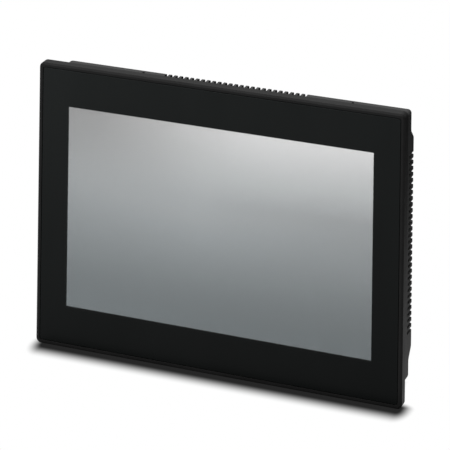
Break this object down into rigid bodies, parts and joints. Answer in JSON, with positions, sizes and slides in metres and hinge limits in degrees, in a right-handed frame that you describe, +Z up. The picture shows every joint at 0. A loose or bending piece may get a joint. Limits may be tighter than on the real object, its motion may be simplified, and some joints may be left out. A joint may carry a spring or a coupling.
{
  "type": "hmi touch panel",
  "caption": "Wide operator touch panel with a flush glass front, a thin bevelled frame with a door seal, and a shallow vented housing with downward ports.",
  "frame": {"origin": "centre of the plane where the seal on the back of the front frame meets the cabinet door", "axes": "+X to the right seen from the front, +Z up, +Y from the front glass towards the back of the housing"},
  "size_m": [0.26, 0.043, 0.191],
  "materials": {
    "frame_plastic": "matt black moulded front frame, finely textured",
    "cover_plastic": "matt black moulded housing with a fine spark texture",
    "cover_glass": "smooth glass, printed black on the back outside the viewing area",
    "touch_glass": "clear sensor glass",
    "display": "switched off liquid crystal display, soft grey",
    "diffuser_film": "white diffusing film",
    "light_guide": "clear acrylic",
    "sheet_steel": "zinc plated sheet steel",
    "screw_steel": "zinc plated screws",
    "black_screws": "black coated screws",
    "brass": "turned brass",
    "foam_seal": "closed cell foam rubber",
    "black_tape": "black bonding tape",
    "thermal_pad": "soft grey silicone pad",
    "circuit_board": "green solder mask",
    "flex_circuit": "amber flexible circuit",
    "cable_white": "white ribbon and wire insulation",
    "chip_black": "black chip packages",
    "heatsink": "black anodised aluminium",
    "can_metal": "bare aluminium cans",
    "port_metal": "nickel plated shells",
    "contact_gold": "gold plated contacts",
    "port_plastic": "black contact carriers and headers",
    "terminal_green": "green terminal plastic",
    "card_plastic": "dark blue black card shell",
    "switch_red": "red switch housing",
    "lever_white": "white levers and button",
    "label_film": "blank silver polyester film"
  },
  "bodies": {
    "panel": {"front_frame": "frame_plastic", "frame_inserts": "brass", "cover_glass": "cover_glass", "glass_adhesive": "black_tape", "touch_sensor": "touch_glass", "touch_tail": "flex_circuit", "lcd_panel": "display", "optical_sheets": "diffuser_film", "light_guide": "light_guide", "led_strip": "circuit_board", "backlight_tray": "sheet_steel", "panel_gasket": "foam_seal", "chassis_plate": "sheet_steel", "display_cable": "cable_white", "backlight_cable": "cable_white", "cable_headers": "port_plastic", "chassis_screws": "screw_steel", "board_standoffs": "brass", "main_board": "circuit_board", "board_screws": "screw_steel", "processor": "chip_black", "thermal_pad": "thermal_pad", "heatsink": "heatsink", "heatsink_pins": "port_plastic", "memory_chips": "chip_black", "interface_chips": "chip_black", "power_capacitors": "can_metal", "power_inductor": "chip_black", "coin_cell": "port_metal", "coin_cell_holder": "port_plastic", "ethernet_jacks": "port_metal", "ethernet_contacts": "contact_gold", "usb_shells": "port_metal", "usb_tongues": "port_plastic", "serial_port": "port_metal", "serial_pins": "contact_gold", "serial_jackscrews": "port_metal", "card_socket": "port_metal", "dip_switch": "switch_red", "reset_switch": "port_plastic", "power_header": "terminal_green", "power_pins": "contact_gold", "earth_bracket": "sheet_steel", "rear_cover": "cover_plastic", "rear_cover_screws": "black_screws", "rating_label": "label_film"},
    "power_plug_body": {"power_plug": "terminal_green", "plug_contacts": "contact_gold"},
    "terminal_screw_1": {"terminal_screw_1": "screw_steel"},
    "terminal_screw_2": {"terminal_screw_2": "screw_steel"},
    "terminal_screw_3": {"terminal_screw_3": "screw_steel"},
    "terminal_cage_1": {"terminal_cage_1": "port_metal"},
    "terminal_cage_2": {"terminal_cage_2": "port_metal"},
    "terminal_cage_3": {"terminal_cage_3": "port_metal"},
    "memory_card": {"memory_card": "card_plastic"},
    "dip_lever_1": {"dip_lever_1": "lever_white"},
    "dip_lever_2": {"dip_lever_2": "lever_white"},
    "reset_button": {"reset_button": "lever_white"},
    "earth_washer": {"earth_washer": "screw_steel"},
    "earth_screw": {"earth_screw": "screw_steel"}
  },
  "joints": [
    {"name": "power_plug_slide", "type": "slide", "parent": "panel", "child": "power_plug_body", "axis": [0, 0, -1], "range_m": [0, 0.011]},
    {"name": "terminal_cage_1_rise", "type": "slide", "parent": "power_plug_body", "child": "terminal_cage_1", "axis": [0, 1, 0], "range_m": [0, 0.002]},
    {"name": "terminal_screw_1_turn", "type": "hinge", "parent": "power_plug_body", "child": "terminal_screw_1", "pos_m": [-0.08508, 0.0218, -0.092], "axis": [0, -1, 0], "range_deg": [0, 1444]},
    {"name": "terminal_cage_2_rise", "type": "slide", "parent": "power_plug_body", "child": "terminal_cage_2", "axis": [0, 1, 0], "range_m": [0, 0.002]},
    {"name": "terminal_screw_2_turn", "type": "hinge", "parent": "power_plug_body", "child": "terminal_screw_2", "pos_m": [-0.08, 0.0218, -0.092], "axis": [0, -1, 0], "range_deg": [0, 1444]},
    {"name": "terminal_cage_3_rise", "type": "slide", "parent": "power_plug_body", "child": "terminal_cage_3", "axis": [0, 1, 0], "range_m": [0, 0.002]},
    {"name": "terminal_screw_3_turn", "type": "hinge", "parent": "power_plug_body", "child": "terminal_screw_3", "pos_m": [-0.07492, 0.0218, -0.092], "axis": [0, -1, 0], "range_deg": [0, 1444]},
    {"name": "memory_card_slide", "type": "slide", "parent": "panel", "child": "memory_card", "axis": [0, 0, -1], "range_m": [-0.001, 0.0315]},
    {"name": "dip_lever_1_slide", "type": "slide", "parent": "panel", "child": "dip_lever_1", "axis": [0, 1, 0], "range_m": [0, 0.0014]},
    {"name": "dip_lever_2_slide", "type": "slide", "parent": "panel", "child": "dip_lever_2", "axis": [0, 1, 0], "range_m": [0, 0.0014]},
    {"name": "reset_button_press", "type": "slide", "parent": "panel", "child": "reset_button", "axis": [0, 0, 1], "range_m": [0, 0.0005]},
    {"name": "earth_screw_lift", "type": "slide", "parent": "panel", "child": "earth_washer", "axis": [0, 0, -1], "range_m": [0, 0.0021]},
    {"name": "earth_screw_turn", "type": "hinge", "parent": "earth_washer", "child": "earth_screw", "pos_m": [-0.1035, 0.012, -0.0916], "axis": [0, 0, -1], "range_deg": [0, 1083]}
  ],
  "couplings": [
    {"joint": "terminal_screw_1_turn", "follows": "terminal_cage_1_rise", "rad_per_m": 12566},
    {"joint": "terminal_screw_2_turn", "follows": "terminal_cage_2_rise", "rad_per_m": 12566},
    {"joint": "terminal_screw_3_turn", "follows": "terminal_cage_3_rise", "rad_per_m": 12566},
    {"joint": "earth_screw_turn", "follows": "earth_screw_lift", "rad_per_m": 8976}
  ]
}
